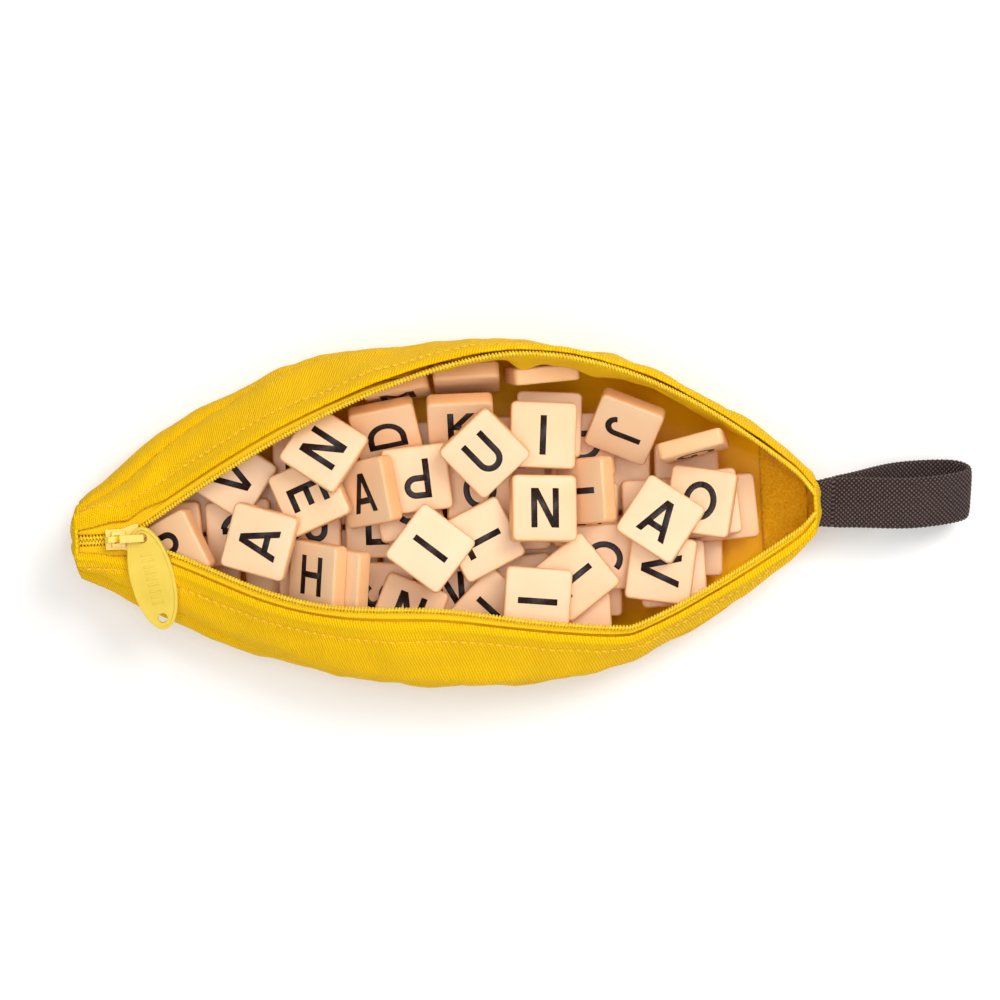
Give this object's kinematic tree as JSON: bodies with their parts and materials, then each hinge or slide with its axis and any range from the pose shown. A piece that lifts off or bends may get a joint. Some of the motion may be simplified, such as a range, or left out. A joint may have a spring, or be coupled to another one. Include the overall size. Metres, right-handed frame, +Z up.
{
  "type": "zipped letter tile pouch",
  "caption": "Banana-shaped soft zip pouch lying open, filled with square letter tiles for a word game, with a pull tag and a webbing loop.",
  "frame": {"origin": "on the table under the middle of the pouch, at the centre of its flat underside", "axes": "+X runs along the pouch from the blunt nose, where the zip starts, to the stem with the webbing loop; +Y points to the back wall, which stands higher; +Z is up"},
  "size_m": [0.25, 0.093, 0.0486],
  "materials": {
    "canvas": "ribbed weave",
    "lining_cloth": "smooth, slightly shiny",
    "patch_cloth": "matt, brushed",
    "zip_tape": "woven tape",
    "zip_coil": "satin",
    "slider_metal": "gloss enamel",
    "tag_plastic": "soft satin",
    "webbing": "braided",
    "tile_plastic": "satin"
  },
  "bodies": {
    "pouch": {"lower_back_panel": "canvas", "lower_front_panel": "canvas", "upper_back_panel": "canvas", "upper_front_panel": "canvas", "nose_end_panel": "canvas", "stem_end_panel": "canvas", "lining": "lining_cloth", "stem_patch": "patch_cloth", "zip_tape_back": "zip_tape", "zip_tape_front": "zip_tape", "zip_row_back": "zip_coil", "zip_row_front": "zip_coil", "zip_rows_closed": "zip_coil", "packed_tiles_lower": "tile_plastic", "packed_tiles_upper": "tile_plastic", "letter_tile_01": "tile_plastic", "letter_tile_02": "tile_plastic", "letter_tile_03": "tile_plastic", "letter_tile_04": "tile_plastic", "letter_tile_05": "tile_plastic", "letter_tile_08": "tile_plastic", "letter_tile_09": "tile_plastic", "letter_tile_10": "tile_plastic", "letter_tile_11": "tile_plastic", "letter_tile_12": "tile_plastic", "letter_tile_13": "tile_plastic", "letter_tile_14": "tile_plastic", "letter_tile_15": "tile_plastic", "letter_tile_16": "tile_plastic", "letter_tile_17": "tile_plastic", "letter_tile_18": "tile_plastic", "letter_tile_19": "tile_plastic", "letter_tile_20": "tile_plastic", "letter_tile_21": "tile_plastic", "letter_tile_22": "tile_plastic", "letter_tile_23": "tile_plastic", "letter_tile_24": "tile_plastic", "letter_tile_25": "tile_plastic", "letter_tile_26": "tile_plastic", "letter_tile_27": "tile_plastic", "letter_tile_28": "tile_plastic", "letter_tile_29": "tile_plastic", "letter_tile_31": "tile_plastic", "letter_tile_32": "tile_plastic", "letter_tile_33": "tile_plastic"},
    "slider": {"slider_body": "slider_metal"},
    "link": {"pull_link": "slider_metal"},
    "tag": {"pull_tag": "tag_plastic"},
    "loop": {"strap_loop": "webbing"},
    "top_tile_06": {"letter_tile_06": "tile_plastic"},
    "top_tile_07": {"letter_tile_07": "tile_plastic"},
    "top_tile_30": {"letter_tile_30": "tile_plastic"},
    "top_tile_34": {"letter_tile_34": "tile_plastic"},
    "top_tile_35": {"letter_tile_35": "tile_plastic"},
    "top_tile_36": {"letter_tile_36": "tile_plastic"}
  },
  "joints": [
    {"name": "slider_run", "type": "slide", "parent": "pouch", "child": "slider", "axis": [-1, 0, 0], "range_m": [0, 0.006], "deforming": ["zip_rows_closed"]},
    {"name": "link_swing", "type": "hinge", "parent": "slider", "child": "link", "pos_m": [-0.0904, 0, 0.0292], "axis": [0, -1, 0], "range_deg": [0, 140]},
    {"name": "tag_turn", "type": "hinge", "parent": "link", "child": "tag", "pos_m": [-0.0822, 0, 0.03085], "axis": [0, -0.1736, 0.9848], "range_deg": [-20, 0]},
    {"name": "loop_swing", "type": "hinge", "parent": "pouch", "child": "loop", "pos_m": [0.1057, 0, 0.018], "axis": [0, -0.9397, -0.342], "range_deg": [0, 95]},
    {"name": "top_tile_06_lift", "type": "slide", "parent": "pouch", "child": "top_tile_06", "axis": [0, 0, 1], "range_m": [0, 0.05]},
    {"name": "top_tile_07_lift", "type": "slide", "parent": "pouch", "child": "top_tile_07", "axis": [0, 0, 1], "range_m": [0, 0.05]},
    {"name": "top_tile_30_lift", "type": "slide", "parent": "pouch", "child": "top_tile_30", "axis": [0, 0, 1], "range_m": [0, 0.05]},
    {"name": "top_tile_34_lift", "type": "slide", "parent": "pouch", "child": "top_tile_34", "axis": [0, 0, 1], "range_m": [0, 0.05]},
    {"name": "top_tile_35_lift", "type": "slide", "parent": "pouch", "child": "top_tile_35", "axis": [0, 0, 1], "range_m": [0, 0.05]},
    {"name": "top_tile_36_lift", "type": "slide", "parent": "pouch", "child": "top_tile_36", "axis": [0, 0, 1], "range_m": [0, 0.05]}
  ]
}
